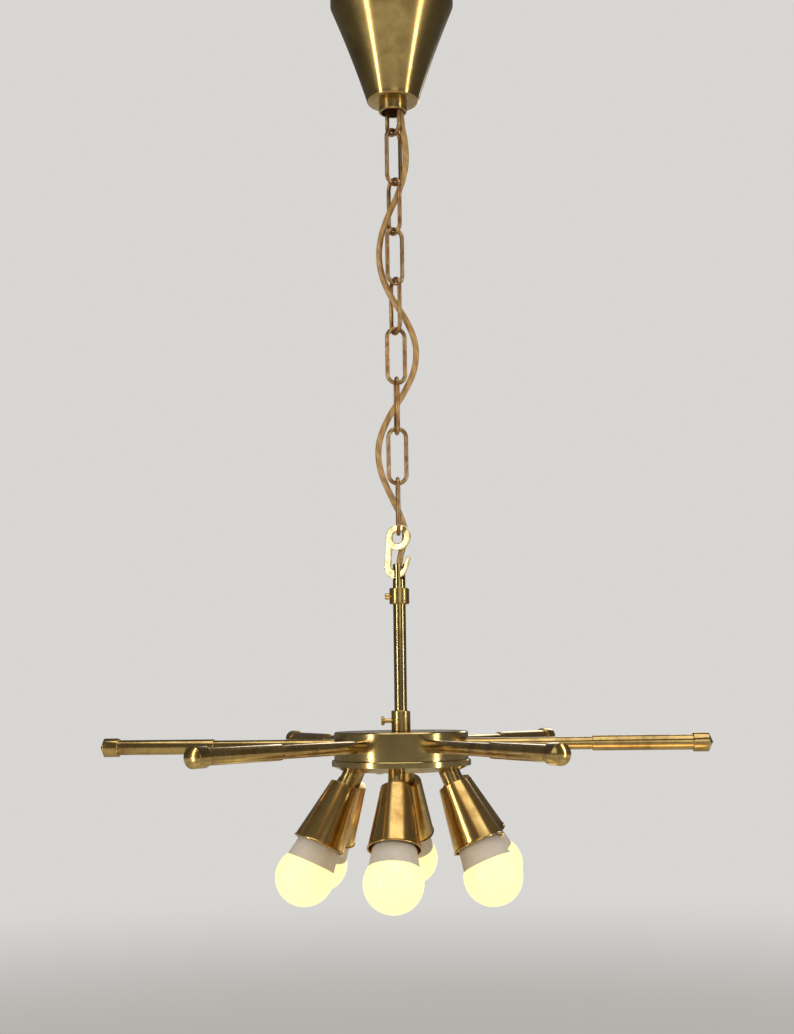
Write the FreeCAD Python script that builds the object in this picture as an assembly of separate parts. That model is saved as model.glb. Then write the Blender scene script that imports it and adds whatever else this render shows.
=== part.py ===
import FreeCAD
import Part

import math
import os

from FreeCAD import Placement, Rotation, Vector

# Six-arm sputnik chandelier on a chain: a cone canopy over a ceiling hook, eight open chain links with the flex
# woven through them, a cast hook, a tube, and a drum hub with six straight arms and six tilted lamp cups.
# Millimetres, +Z up. The origin is on the ceiling, in the middle of the ceiling hook's plate, and everything
# hangs below it. Arm 1 points along +X. The chain, the flex and the screws are laid out in the chain's own
# frame, which is turned about the lamp's axis against the arms.

UP = Vector(0, 0, 1)
PLAY = 0.3  # gap between pieces that hang or lie loosely on each other
FIT = 0.05  # radial clearance of a turning or sliding fit
COUNT = 6  # arms, and cups midway between them
CHAIN_TURN = 4.8  # degrees from the arms' frame to the chain's

# Ceiling hook: a round steel plate with two screw holes and a hook welded under it
PLATE_RADIUS = 28.0
PLATE_THICK = 2.5
PLATE_HOLE = 4.6
PLATE_HOLE_SPACING = 42.0
PLATE_HOOK_WIRE = 4.0
PLATE_HOOK_BEND = 7.0

# Terminal block under the plate, where the flex meets the supply
BLOCK_LENGTH = 20.0
BLOCK_WIDTH = 12.0
BLOCK_HEIGHT = 12.0
BLOCK_PLACE = Vector(9.0, 14.5, 0)
BLOCK_SCREW = 4.0

# Canopy: a spun cone, slightly hollow in profile, with a flat bottom and a short sleeve that the chain runs through
CANOPY_RADIUS = 49.4
CANOPY_LIP = 4.0
CANOPY_HEIGHT = 83.0
CANOPY_SMALL_RADIUS = 20.9
CANOPY_HOLLOW = 1.0
CANOPY_WALL = 1.0
CANOPY_EDGE = 2.0
SLEEVE_RADIUS = 11.25
SLEEVE_BORE = 9.5
SLEEVE_DROP = 8.0
SLEEVE_SPIGOT = 4.0
SLEEVE_SPIGOT_RADIUS = 10.6
SLEEVE_LIP = 0.8
GRUB_DIAMETER = 3.0

# Chain: round-wire links, bent to a butt joint halfway up one leg
LINK_WIRE = 3.3
LINK_WIDTH = 17.5
LINK_PITCH = 40.3
LINK_BUTT_GAP = 0.2
CHAIN_TOP = -26.5  # where the first link hangs on the ceiling hook
LINK_TURNS = [41, -49, 41, -53, 34, -62, 12, -84, 6, -88]  # degrees about the axis, from the chain's X

# Flex: golden round flex from the terminal block, woven through every second link, into the tube and the hub
FLEX_DIAMETER = 5.0
ARC_SHARE = 0.45
FLEX_ROUTE = [
    (13.0, 12.0, -15.0),
    (13.4, 11.0, -25.0),
    (13.6, 8.6, -38.0),
    (12.6, 5.2, -53.0),
    (9.4, 2.4, -67.5),
    (5.6, 2.2, -80.0),
    (6.8, -0.2, -102.0),
    (9.8, -1.4, -117.2),
    (10.0, -1.2, -137.4),
    (3.6, -0.4, -157.5),
    (-6.4, 0.2, -177.7),
    (-12.6, 0.6, -197.8),
    (-12.4, 0.4, -218.0),
    (-5.4, 0.0, -238.1),
    (8.0, 0.0, -258.3),
    (16.6, 0.5, -278.4),
    (15.6, 0.8, -298.6),
    (6.0, 0.4, -318.7),
    (-7.6, 0.0, -338.9),
    (-15.6, -0.4, -359.0),
    (-14.6, -0.3, -379.2),
    (-6.4, 0.8, -399.3),
    (3.6, 3.2, -419.4),
    (6.0, 4.3, -433.5),
    (2.6, 2.9, -444.0),
    (0.3, 1.6, -453.0),
    (0.35, 1.65, -467.0),
    (0.3, 1.6, -485.0),
    (0.35, 1.65, -508.0),
    (0.3, 1.6, -532.0),
    (0.35, 1.65, -556.0),
    (0.3, 1.6, -580.0),
    (0.35, 1.65, -602.8),
]
FLEX_CUTS = [5, 7, 9, 11, 13, 15, 17, 19, 21, 23, 26]  # runs halved between stretches, from the canopy's sleeve

# Cast hook: a flat eye on the last link, a shank down one side and an upturned bend that carries the tube
HOOK_TURN = -22.0
HOOK_LEAN = 4.4
HOOK_THICK = 2.4
HOOK_EDGE = 0.5
EYE_RADIUS = 10.5
EYE_HOLE = 5.0
EYE_ROOM = 0.4  # over the last link's bend
BEND_DROP = 21.4  # from the eye's centre to the bend's
BEND_RADIUS = 5.8
BEND_DEPTH = 6.0
SHANK_OUTER = 11.2
TIP_RISE = 4.6
TIP_WIDTH = 3.2
TIP_LEAN = 1.5
TIP_ROOT = 2.4

# Tube, cross-cut at the top for the hook, with a clamping collar and a nut under the hub's cover
TUBE_RADIUS = 5.0
TUBE_WALL = 0.5
TUBE_LENGTH = 144.7
SLOT_TOP = 2.4
NUT_RADIUS = 9.0
NUT_HEIGHT = 4.0
WASHER_RADIUS = 10.0
WASHER_THICK = 1.2
CLAMP_DROP = 19.1
CLAMP_HEIGHT = 12.8
CLAMP_RADIUS = 7.85
CLAMP_SCREW = 3.0
CLAMP_HEAD_RADIUS = 2.6
CLAMP_HEAD_LENGTH = 3.2
CLAMP_SCREW_REACH = 2.9  # how near to the axis the clamping screw's tip comes
EDGE = 0.5  # broken edge of turned pieces

# Hub: a drum cover, and a base with a bevelled lip that is screwed to three studs in the cover
HUB_DROP = 132.5  # from the tube's top to the cover's top
HUB_RADIUS = 53.0
HUB_WALL = 1.5
COVER_HEIGHT = 21.6
COVER_EDGE = 1.0
SEAM = 0.6
LIP_RADIUS = 55.0
LIP_HEIGHT = 4.6
BEVEL_HEIGHT = 4.0
BASE_RADIUS = 46.0
BASE_THICK = 2.5
SPIGOT_HEIGHT = 4.0
SPIGOT_WALL = 1.5
STUD_RADIUS = 3.0
STUD_PLACE = 30.0
STUD_COUNT = 3
BASE_SCREW_RADIUS = 1.5
BASE_SCREW_HEAD = 2.8
BASE_SCREW_RISE = 1.6
HUB_COLLAR_RADIUS = 7.5
HUB_COLLAR_HEIGHT = 16.4
THUMB_HEIGHT = 8.4
THUMB_SHANK = 1.8
THUMB_HEAD_RADIUS = 3.6
THUMB_HEAD_LENGTH = 2.6
THUMB_REACH = 8.0
HUB_BLOCK_LENGTH = 20.0
HUB_BLOCK_WIDTH = 14.0

# Arms: a tube out of the drum, a wider sleeve over it and a turned end with a shallow point
ARM_DROP = 10.8  # from the cover's top to the arms' axis
ARM_INNER_END = 44.0
ARM_RADIUS = 5.0
ARM_TUBE_WALL = 1.0
SLEEVE_START = 150.0
ARM_SLEEVE_RADIUS = 6.0
SLEEVE_OVERLAP = 20.0
ARM_REACH = 243.0
END_RADIUS = 7.5
END_LENGTH = 12.0
END_POINT = 3.5
END_SPIGOT = 8.0
ARM_NUT_RADIUS = 7.0
ARM_NUT_THICK = 3.0

# Cups: spun cones on short necks, tilted outwards; sizes run up each cup's axis from its rim
CUP_TILT = 27.0
CUP_PLACE = 71.0
CUP_DROP = 75.0  # from the arms' axis to the rim's centre
CUP_LENGTH = 50.0
CUP_RIM_RADIUS = 20.25
CUP_TOP_RADIUS = 11.75
CUP_WALL = 0.8
CUP_BEAD = 0.5
NECK_RADIUS = 6.5
NIPPLE_RADIUS = 5.0
NIPPLE_BORE = 3.75
BOSS_RADIUS = 8.0
BOSS_HEIGHT = 6.0
HOLDER_RADIUS = 11.5
HOLDER_CAP_RADIUS = 10.0
HOLDER_CAP_HEIGHT = 6.0
HOLDER_RISE = 13.0
HOLDER_BORE_DEPTH = 24.0
NIPPLE_SOCKET = 5.0

# Lamps: a screw base, a tapered housing and a globe
BASE_SHELL_RADIUS = 6.8
BASE_SHELL_HEIGHT = 19.0
CONTACT_RADIUS = 2.5
CONTACT_HEIGHT = 2.0
GLOBE_RADIUS = 22.5
GLOBE_DROP = 26.4  # from the cup's rim to the globe's centre
GLOBE_WALL = 1.2
HOUSING_EDGE_RADIUS = 19.2
HOUSING_EDGE_RISE = 11.0  # of the housing's edge above the globe's centre
HOUSING_RIM_RADIUS = 16.6
HOUSING_NECK_RADIUS = 10.0

# Levels worked out from the sizes above
LINK_LENGTH = LINK_PITCH + 2 * LINK_WIRE + PLAY
CHAIN_END = CHAIN_TOP - len(LINK_TURNS) * LINK_PITCH
EYE_LEVEL = CHAIN_END + EYE_ROOM - EYE_HOLE
BEND_LEVEL = EYE_LEVEL - BEND_DROP
TUBE_TOP = BEND_LEVEL
HUB_TOP = TUBE_TOP - HUB_DROP
COVER_INSIDE = HUB_TOP - HUB_WALL
COVER_BOTTOM = HUB_TOP - COVER_HEIGHT
LIP_TOP = COVER_BOTTOM - SEAM
BASE_BOTTOM = LIP_TOP - LIP_HEIGHT - BEVEL_HEIGHT
FLOOR = BASE_BOTTOM + BASE_THICK
ARM_LEVEL = HUB_TOP - ARM_DROP
CUP_LEVEL = ARM_LEVEL - CUP_DROP
TUBE_BORE = TUBE_RADIUS - TUBE_WALL
CHAIN_FRAME = Placement(Vector(0, 0, 0), Rotation(UP, CHAIN_TURN))


def turned(profile):
    """A turned piece: (radius, height) corners, revolved about Z."""
    corners = [Vector(radius, 0, height) for radius, height in profile]
    outline = Part.makePolygon(corners + corners[:1])
    return Part.Face(outline).revolve(Vector(0, 0, 0), UP, 360)


def moved(shape, placement):
    """A copy of a shape, carried by a placement."""
    copy = shape.copy()
    copy.Placement = placement.multiply(copy.Placement)
    return copy


def turned_about_axis(shape, degrees):
    return moved(shape, Placement(Vector(0, 0, 0), Rotation(UP, degrees)))


def ring(outer, inner, bottom, top):
    """A turned sleeve with broken outer edges."""
    return turned([
        (inner, bottom), (outer - EDGE, bottom), (outer, bottom + EDGE),
        (outer, top - EDGE), (outer - EDGE, top), (inner, top),
    ])


def rod_between(radius, start, end):
    return Part.makeCylinder(radius, (end - start).Length, start, end - start)


def outward(degrees, level=0.0):
    """Placement that lays a piece built up Z radially, pointing away from the lamp's axis."""
    lay = Rotation(UP, degrees).multiply(Rotation(Vector(0, 1, 0), 90))
    return Placement(Vector(0, 0, level), lay)


def swept(edges, radius):
    """Round bar along a chain of edges."""
    start = edges[0].firstVertex().Point
    tangent = edges[0].tangentAt(edges[0].FirstParameter)
    section = Part.Wire(Part.makeCircle(radius, start, tangent))
    return Part.Wire(edges).makePipeShell([section], True, False)


def ceiling_hook():
    """Plate on the ceiling with a round hook welded under it, open on one side."""
    plate = Part.makeCylinder(PLATE_RADIUS, PLATE_THICK, Vector(0, 0, -PLATE_THICK))
    for side in (-1, 1):
        place = Vector(side * PLATE_HOLE_SPACING / 2, 0, -PLATE_THICK)
        plate = plate.cut(Part.makeCylinder(PLATE_HOLE / 2, PLATE_THICK, place))
    wire = PLATE_HOOK_WIRE / 2
    centre = CHAIN_TOP - PLAY / 2 - wire + PLATE_HOOK_BEND
    bend = Part.makeTorus(PLATE_HOOK_BEND, wire, Vector(0, 0, centre), Vector(0, -1, 0), 0, 360, 270)
    stem = rod_between(wire, Vector(0, 0, -PLATE_THICK), Vector(0, 0, centre + PLATE_HOOK_BEND))
    bend.rotate(Vector(0, 0, centre), Vector(0, -1, 0), 90)
    hook = moved(bend.fuse(stem), Placement(Vector(0, 0, 0), Rotation(UP, LINK_TURNS[0] + 90 + CHAIN_TURN)))
    return plate.fuse(hook)


def terminal_block():
    """Two-way block under the plate, with a screw hole over each way."""
    corner = BLOCK_PLACE - Vector(BLOCK_LENGTH / 2, BLOCK_WIDTH / 2, PLATE_THICK + BLOCK_HEIGHT)
    block = Part.makeBox(BLOCK_LENGTH, BLOCK_WIDTH, BLOCK_HEIGHT, corner)
    for side in (-1, 1):
        mouth = corner + Vector(0, BLOCK_WIDTH / 2 + side * BLOCK_WIDTH / 4, BLOCK_HEIGHT / 2)
        block = block.cut(Part.makeCylinder(BLOCK_SCREW / 2, BLOCK_LENGTH / 3, mouth, Vector(1, 0, 0)))
    return moved(block, CHAIN_FRAME)


def canopy_profile(inset):
    """The canopy's outline in (radius, height), from its lip down to its flat bottom, moved inwards by inset."""
    lip = Vector(CANOPY_RADIUS - inset, 0, -CANOPY_LIP)
    foot = Vector(CANOPY_SMALL_RADIUS - inset, 0, -CANOPY_HEIGHT + CANOPY_EDGE)
    waist = (lip + foot) * 0.5 - Vector(CANOPY_HOLLOW, 0, 0)
    edge = Vector(CANOPY_SMALL_RADIUS - CANOPY_EDGE, 0, -CANOPY_HEIGHT + inset)
    corner = Vector(CANOPY_SMALL_RADIUS - inset * 0.9 - CANOPY_EDGE * 0.3, 0, -CANOPY_HEIGHT + inset + CANOPY_EDGE * 0.3)
    return [
        Part.LineSegment(Vector(lip.x, 0, 0), lip).toShape(),
        Part.Arc(lip, waist, foot).toShape(),
        Part.Arc(foot, corner, edge).toShape(),
    ]


def canopy():
    """Spun cone, one wall thick, with a hole in its flat bottom for the sleeve."""
    outer = canopy_profile(0)
    inner = canopy_profile(CANOPY_WALL)
    hole = SLEEVE_SPIGOT_RADIUS + FIT
    floor_out = Vector(hole, 0, -CANOPY_HEIGHT)
    floor_in = Vector(hole, 0, -CANOPY_HEIGHT + CANOPY_WALL)
    foot_out = outer[-1].lastVertex().Point
    foot_in = inner[-1].lastVertex().Point
    joints = [
        Part.LineSegment(foot_out, floor_out).toShape(),
        Part.LineSegment(floor_out, floor_in).toShape(),
        Part.LineSegment(floor_in, foot_in).toShape(),
        Part.LineSegment(Vector(CANOPY_RADIUS - CANOPY_WALL, 0, 0), Vector(CANOPY_RADIUS, 0, 0)).toShape(),
    ]
    outline = Part.Wire(Part.__sortEdges__(outer + inner + joints))
    return Part.Face(outline).revolve(Vector(0, 0, 0), UP, 360)


def screw_leg():
    """Where the grub screw meets the upper link: the leg that lies away from the flex, in the chain's frame."""
    reach = (LINK_WIDTH - LINK_WIRE) / 2
    return reach + LINK_WIRE / 2, LINK_TURNS[1] + 180


def canopy_collar():
    """Turned sleeve through the canopy's bottom, riveted over inside, with a tapped hole for the grub screw."""
    bottom = -CANOPY_HEIGHT - SLEEVE_DROP
    top = -CANOPY_HEIGHT + SLEEVE_SPIGOT
    collar = turned([
        (SLEEVE_BORE, bottom), (SLEEVE_RADIUS - EDGE, bottom), (SLEEVE_RADIUS, bottom + EDGE),
        (SLEEVE_RADIUS, -CANOPY_HEIGHT), (SLEEVE_SPIGOT_RADIUS, -CANOPY_HEIGHT),
        (SLEEVE_SPIGOT_RADIUS, -CANOPY_HEIGHT + CANOPY_WALL), (SLEEVE_RADIUS, -CANOPY_HEIGHT + CANOPY_WALL),
        (SLEEVE_RADIUS, top), (SLEEVE_BORE, top),
    ])
    _, turn = screw_leg()
    hole = moved(Part.makeCylinder(GRUB_DIAMETER / 2 + FIT, SLEEVE_RADIUS), outward(turn, grub_level()))
    return moved(collar.cut(hole), CHAIN_FRAME)


def grub_level():
    return -CANOPY_HEIGHT - SLEEVE_DROP / 2


def canopy_screw():
    """Slotted grub screw in the sleeve's wall, its tip against the upper link's leg."""
    tip, turn = screw_leg()
    grub = Part.makeCylinder(GRUB_DIAMETER / 2, SLEEVE_RADIUS - tip - PLAY, Vector(0, 0, tip + PLAY))
    slot = Part.makeBox(GRUB_DIAMETER, GRUB_DIAMETER / 5, GRUB_DIAMETER / 4)
    slot.translate(Vector(-GRUB_DIAMETER / 2, -GRUB_DIAMETER / 10, SLEEVE_RADIUS - GRUB_DIAMETER / 4))
    return moved(moved(grub.cut(slot), outward(turn, grub_level())), CHAIN_FRAME)


def chain_link():
    """One link, upright and centred on the origin in the XZ plane."""
    bend = (LINK_WIDTH - LINK_WIRE) / 2
    leg = (LINK_LENGTH - LINK_WIDTH) / 2
    gap = LINK_BUTT_GAP / 2
    path = [
        Part.LineSegment(Vector(bend, 0, gap), Vector(bend, 0, leg)).toShape(),
        Part.Arc(Vector(bend, 0, leg), Vector(0, 0, leg + bend), Vector(-bend, 0, leg)).toShape(),
        Part.LineSegment(Vector(-bend, 0, leg), Vector(-bend, 0, -leg)).toShape(),
        Part.Arc(Vector(-bend, 0, -leg), Vector(0, 0, -leg - bend), Vector(bend, 0, -leg)).toShape(),
        Part.LineSegment(Vector(bend, 0, -leg), Vector(bend, 0, -gap)).toShape(),
    ]
    return swept(path, LINK_WIRE / 2)


def link_placement(index):
    """Each link hangs a pitch below the last, turned about the lamp's axis."""
    level = CHAIN_TOP - (index + 0.5) * LINK_PITCH
    return Placement(Vector(0, 0, level), Rotation(UP, LINK_TURNS[index] + CHAIN_TURN))


def rounded_corners(points):
    """For each inner point of a route: where its arc starts, its middle and its end, and the arc's radius."""
    corners = []
    for before, corner, after in zip(points, points[1:], points[2:]):
        back = (before - corner).normalize()
        ahead = (after - corner).normalize()
        half_turn = (math.pi - back.getAngle(ahead)) / 2
        reach = ARC_SHARE * min((before - corner).Length, (after - corner).Length)
        radius = reach / math.tan(half_turn)
        towards_centre = (back + ahead).normalize()
        depth = radius / math.cos(half_turn) - radius
        corners.append((corner + back * reach, corner + towards_centre * depth, corner + ahead * reach, radius))
    return corners


def flex_stretch(points, corners, first_run, last_run):
    """The flex from the middle of one run to the middle of another; 0 and the last run keep their outer ends."""
    start = (points[first_run] + points[first_run + 1]) * 0.5 if first_run else points[0]
    edges = []
    for begin, middle, end, _ in corners[first_run:last_run]:
        edges.append(Part.LineSegment(start, begin).toShape())
        edges.append(Part.Arc(begin, middle, end).toShape())
        start = end
    is_last = last_run == len(points) - 2
    stop = points[-1] if is_last else (points[last_run] + points[last_run + 1]) * 0.5
    edges.append(Part.LineSegment(start, stop).toShape())
    return moved(swept(edges, FLEX_DIAMETER / 2), CHAIN_FRAME)


def flex():
    """The whole flex in stretches: inside the canopy, one across each joint, and down the tube."""
    points = [Vector(*point) for point in FLEX_ROUTE]
    corners = rounded_corners(points)
    print("flex radii", [round(radius) for *_, radius in corners])
    nodes = {"flex_canopy": flex_stretch(points, corners, 0, FLEX_CUTS[0])}
    for number, (first_run, last_run) in enumerate(zip(FLEX_CUTS, FLEX_CUTS[1:])):
        nodes["flex_%02d" % (number + 1)] = flex_stretch(points, corners, first_run, last_run)
    nodes["flex_tube"] = flex_stretch(points, corners, FLEX_CUTS[-1], len(points) - 2)
    return nodes


def hook_outline():
    """Eye, shank and bend in the hook's own plane: +X is the tip's side, heights are from the eye's centre."""
    bend = -BEND_DROP
    shank_out = Vector(-SHANK_OUTER, 0, bend)
    shank_in = Vector(-BEND_RADIUS, 0, bend)
    outer_low = Vector(0, 0, bend - BEND_RADIUS - BEND_DEPTH)
    inner_low = Vector(0, 0, bend - BEND_RADIUS)
    root_out = Vector(BEND_RADIUS + TIP_ROOT, 0, bend - TIP_RISE)
    root_in = Vector(BEND_RADIUS, 0, bend)
    tip_in = Vector(BEND_RADIUS + TIP_LEAN, 0, bend + TIP_RISE)
    tip_out = tip_in + Vector(TIP_WIDTH, 0, -TIP_WIDTH / 3)
    tip_top = (tip_in + tip_out) * 0.5 + Vector(TIP_WIDTH / 6, 0, TIP_WIDTH / 2)
    eye_out = Vector(-EYE_RADIUS, 0, 0)
    eye_in = Vector(-EYE_RADIUS / 2, 0, -EYE_RADIUS * math.sqrt(3) / 2)
    return Part.Wire([
        Part.LineSegment(eye_out, shank_out).toShape(),
        Part.Arc(shank_out, outer_low, root_out).toShape(),
        Part.LineSegment(root_out, tip_out).toShape(),
        Part.Arc(tip_out, tip_top, tip_in).toShape(),
        Part.LineSegment(tip_in, root_in).toShape(),
        Part.Arc(root_in, inner_low, shank_in).toShape(),
        Part.LineSegment(shank_in, eye_in).toShape(),
        Part.Arc(eye_in, -eye_in, eye_out).toShape(),
    ])


def hook_placement():
    """The hook hangs from the top of its eye and leans, so that its bend clears the flex in the tube."""
    pivot = Vector(0, 0, EYE_HOLE)
    lean = Placement(Vector(0, 0, 0), Rotation(Vector(-1, 0, 0), HOOK_LEAN), pivot)
    hang = Placement(Vector(0, 0, EYE_LEVEL), Rotation(UP, HOOK_TURN + CHAIN_TURN))
    return hang.multiply(lean)


def hook():
    """Cast hook with broken edges."""
    thick = Vector(0, HOOK_THICK, 0)
    back = Vector(0, -HOOK_THICK / 2, 0)
    blank = Part.Face(hook_outline()).extrude(thick)
    blank.translate(back)
    blank = blank.cut(Part.makeCylinder(EYE_HOLE, HOOK_THICK, back, thick))
    rims = [edge for edge in blank.Edges if edge.BoundBox.YLength < HOOK_THICK / 2]
    return moved(blank.makeChamfer(HOOK_EDGE, rims), hook_placement())


def tube():
    """The tube, cut across at its top for the hook's bend, with a hole for the clamping screw."""
    body = turned([
        (TUBE_BORE, TUBE_TOP - TUBE_LENGTH), (TUBE_RADIUS, TUBE_TOP - TUBE_LENGTH),
        (TUBE_RADIUS, TUBE_TOP), (TUBE_BORE, TUBE_TOP),
    ])
    depth = BEND_RADIUS + BEND_DEPTH + 2 * PLAY - SLOT_TOP
    front = -TUBE_BORE + FIT
    slot = Part.makeBox(4 * TUBE_RADIUS, TUBE_BORE - PLAY, depth)
    slot.translate(Vector(-2 * TUBE_RADIUS, front, TUBE_TOP - SLOT_TOP - depth))
    hole = moved(Part.makeCylinder(CLAMP_SCREW / 2 + FIT, 2 * TUBE_RADIUS), outward(180, clamp_level()))
    slot = turned_about_axis(slot, HOOK_TURN)
    return moved(body.cut(slot).cut(hole), CHAIN_FRAME)


def clamp_level():
    return TUBE_TOP - CLAMP_DROP - CLAMP_HEIGHT / 2


def clamp_collar():
    """Collar round the tube, tapped for the screw that grips the flex."""
    top = TUBE_TOP - CLAMP_DROP
    collar = ring(CLAMP_RADIUS, TUBE_RADIUS + FIT, top - CLAMP_HEIGHT, top)
    hole = moved(Part.makeCylinder(CLAMP_SCREW / 2 + FIT, 2 * CLAMP_RADIUS), outward(180, clamp_level()))
    return moved(collar.cut(hole), CHAIN_FRAME)


def clamp_screw():
    """Cheese-head screw through the collar and the tube's wall, up to the flex."""
    head = CLAMP_RADIUS + PLAY
    shank = Part.makeCylinder(CLAMP_SCREW / 2, head - CLAMP_SCREW_REACH, Vector(0, 0, CLAMP_SCREW_REACH))
    top = turned([
        (0, head), (CLAMP_HEAD_RADIUS, head), (CLAMP_HEAD_RADIUS, head + CLAMP_HEAD_LENGTH - EDGE),
        (CLAMP_HEAD_RADIUS - EDGE, head + CLAMP_HEAD_LENGTH), (0, head + CLAMP_HEAD_LENGTH),
    ])
    slot = Part.makeBox(2 * CLAMP_HEAD_RADIUS, EDGE, 2 * EDGE)
    slot.translate(Vector(-CLAMP_HEAD_RADIUS, -EDGE / 2, head + CLAMP_HEAD_LENGTH - 2 * EDGE))
    screw = shank.fuse(top).cut(slot)
    return moved(moved(screw, outward(180, clamp_level())), CHAIN_FRAME)


def tube_nut():
    """Washer and hexagon nut on the tube's threaded end, under the cover."""
    washer_top = COVER_INSIDE - PLAY
    bore = TUBE_RADIUS + FIT
    washer = turned([
        (bore, washer_top - WASHER_THICK), (WASHER_RADIUS, washer_top - WASHER_THICK),
        (WASHER_RADIUS, washer_top), (bore, washer_top),
    ])
    corners = [turn_to(NUT_RADIUS, 60 * side) for side in range(7)]
    nut = Part.Face(Part.makePolygon(corners)).extrude(Vector(0, 0, NUT_HEIGHT))
    nut = nut.cut(Part.makeCylinder(bore, NUT_HEIGHT))
    nut.translate(Vector(0, 0, washer_top - WASHER_THICK - NUT_HEIGHT))
    return Part.makeCompound([washer, nut])


def turn_to(radius, degrees, height=0.0):
    angle = math.radians(degrees)
    return Vector(radius * math.cos(angle), radius * math.sin(angle), height)


def arm_turn(index):
    return 360.0 / COUNT * index


def cup_turn(index):
    return 360.0 / COUNT * (index + 0.5)


def cup_placement(index):
    """The cup's rim centre, with local Z up its axis towards the hub."""
    rim = turn_to(CUP_PLACE, cup_turn(index), CUP_LEVEL)
    tilt = Rotation(UP, cup_turn(index)).multiply(Rotation(Vector(0, 1, 0), -CUP_TILT))
    return Placement(rim, tilt)


def along_cup(level):
    """How far up a cup's axis from its rim a level in the lamp's frame lies."""
    return (level - CUP_LEVEL) / math.cos(math.radians(CUP_TILT))


def hub_cover():
    """Drum shell with a flat top, holes for the tube and the arms, and three studs for the base."""
    shell = turned([
        (TUBE_RADIUS + FIT, COVER_INSIDE), (HUB_RADIUS - HUB_WALL, COVER_INSIDE),
        (HUB_RADIUS - HUB_WALL, COVER_BOTTOM), (HUB_RADIUS, COVER_BOTTOM),
        (HUB_RADIUS, HUB_TOP - COVER_EDGE), (HUB_RADIUS - COVER_EDGE, HUB_TOP), (TUBE_RADIUS + FIT, HUB_TOP),
    ])
    for index in range(COUNT):
        hole = Part.makeCylinder(ARM_RADIUS + FIT, HUB_RADIUS)
        shell = shell.cut(moved(hole, outward(arm_turn(index), ARM_LEVEL)))
    for index in range(STUD_COUNT):
        foot = turn_to(STUD_PLACE, stud_turn(index), FLOOR + FIT)
        stud = rod_between(STUD_RADIUS, foot, Vector(foot.x, foot.y, COVER_INSIDE))
        bore = Part.makeCylinder(BASE_SCREW_RADIUS + FIT, COVER_HEIGHT / 2, foot)
        shell = shell.fuse(stud).cut(bore)
    return shell


def stud_turn(index):
    return 360.0 / STUD_COUNT * index


def hub_base():
    """Turned base: a lip under the drum's seam, a spigot up into the drum, a bevel and six tapped bosses."""
    spigot = HUB_RADIUS - HUB_WALL - FIT
    base = turned([
        (0, BASE_BOTTOM), (BASE_RADIUS, BASE_BOTTOM), (LIP_RADIUS, BASE_BOTTOM + BEVEL_HEIGHT),
        (LIP_RADIUS, LIP_TOP - EDGE), (LIP_RADIUS - EDGE, LIP_TOP), (spigot, LIP_TOP),
        (spigot, LIP_TOP + SPIGOT_HEIGHT), (spigot - SPIGOT_WALL, LIP_TOP + SPIGOT_HEIGHT),
        (spigot - SPIGOT_WALL, FLOOR + BEVEL_HEIGHT), (BASE_RADIUS, FLOOR), (0, FLOOR),
    ])
    inside = Part.makeCylinder(spigot - SPIGOT_WALL / 2, COVER_HEIGHT, Vector(0, 0, FLOOR - BASE_THICK / 2))
    for index in range(COUNT):
        place = cup_placement(index)
        low = along_cup(BASE_BOTTOM)
        boss = Part.makeCylinder(BOSS_RADIUS, BOSS_HEIGHT + 2 * BASE_THICK, Vector(0, 0, low))
        base = base.fuse(moved(boss, place).common(inside))
    for index in range(COUNT):
        bore = Part.makeCylinder(NIPPLE_RADIUS + FIT, 4 * BOSS_HEIGHT, Vector(0, 0, along_cup(BASE_BOTTOM) - BOSS_HEIGHT))
        base = base.cut(moved(bore, cup_placement(index)))
    for index in range(STUD_COUNT):
        place = turn_to(STUD_PLACE, stud_turn(index), BASE_BOTTOM)
        base = base.cut(Part.makeCylinder(BASE_SCREW_RADIUS + FIT, BASE_THICK, place))
    return base


def base_screws():
    """Pan-head screws up through the base into the cover's studs."""
    screws = []
    for index in range(STUD_COUNT):
        place = turn_to(STUD_PLACE, stud_turn(index), BASE_BOTTOM)
        head = turned([
            (0, -BASE_SCREW_RISE), (BASE_SCREW_HEAD - EDGE, -BASE_SCREW_RISE),
            (BASE_SCREW_HEAD, -BASE_SCREW_RISE + EDGE), (BASE_SCREW_HEAD, 0), (0, 0),
        ])
        shank = Part.makeCylinder(BASE_SCREW_RADIUS, BASE_THICK + COVER_HEIGHT / 3)
        slot = Part.makeBox(2 * BASE_SCREW_HEAD, EDGE, EDGE, Vector(-BASE_SCREW_HEAD, -EDGE / 2, -BASE_SCREW_RISE))
        screws.append(moved(head.fuse(shank).cut(slot), Placement(place, Rotation())))
    return Part.makeCompound(screws)


def thumb_level():
    return HUB_TOP + THUMB_HEIGHT


def hub_collar():
    """Collar on the cover, round the tube, tapped for the thumb screw."""
    collar = ring(HUB_COLLAR_RADIUS, TUBE_RADIUS + FIT, HUB_TOP, HUB_TOP + HUB_COLLAR_HEIGHT)
    hole = moved(Part.makeCylinder(THUMB_SHANK + FIT, 2 * HUB_COLLAR_RADIUS), outward(180, thumb_level()))
    return moved(collar.cut(hole), CHAIN_FRAME)


def thumb_screw():
    """Thumb screw with a flat disc head, its tip just off the tube."""
    tip = TUBE_RADIUS + PLAY
    head = HUB_COLLAR_RADIUS + THUMB_REACH - THUMB_HEAD_LENGTH
    shank = Part.makeCylinder(THUMB_SHANK, head - tip, Vector(0, 0, tip))
    disc = turned([
        (0, head), (THUMB_HEAD_RADIUS - EDGE, head), (THUMB_HEAD_RADIUS, head + EDGE),
        (THUMB_HEAD_RADIUS, head + THUMB_HEAD_LENGTH - EDGE),
        (THUMB_HEAD_RADIUS - EDGE, head + THUMB_HEAD_LENGTH), (0, head + THUMB_HEAD_LENGTH),
    ])
    return moved(moved(shank.fuse(disc), outward(180, thumb_level())), CHAIN_FRAME)


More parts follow.
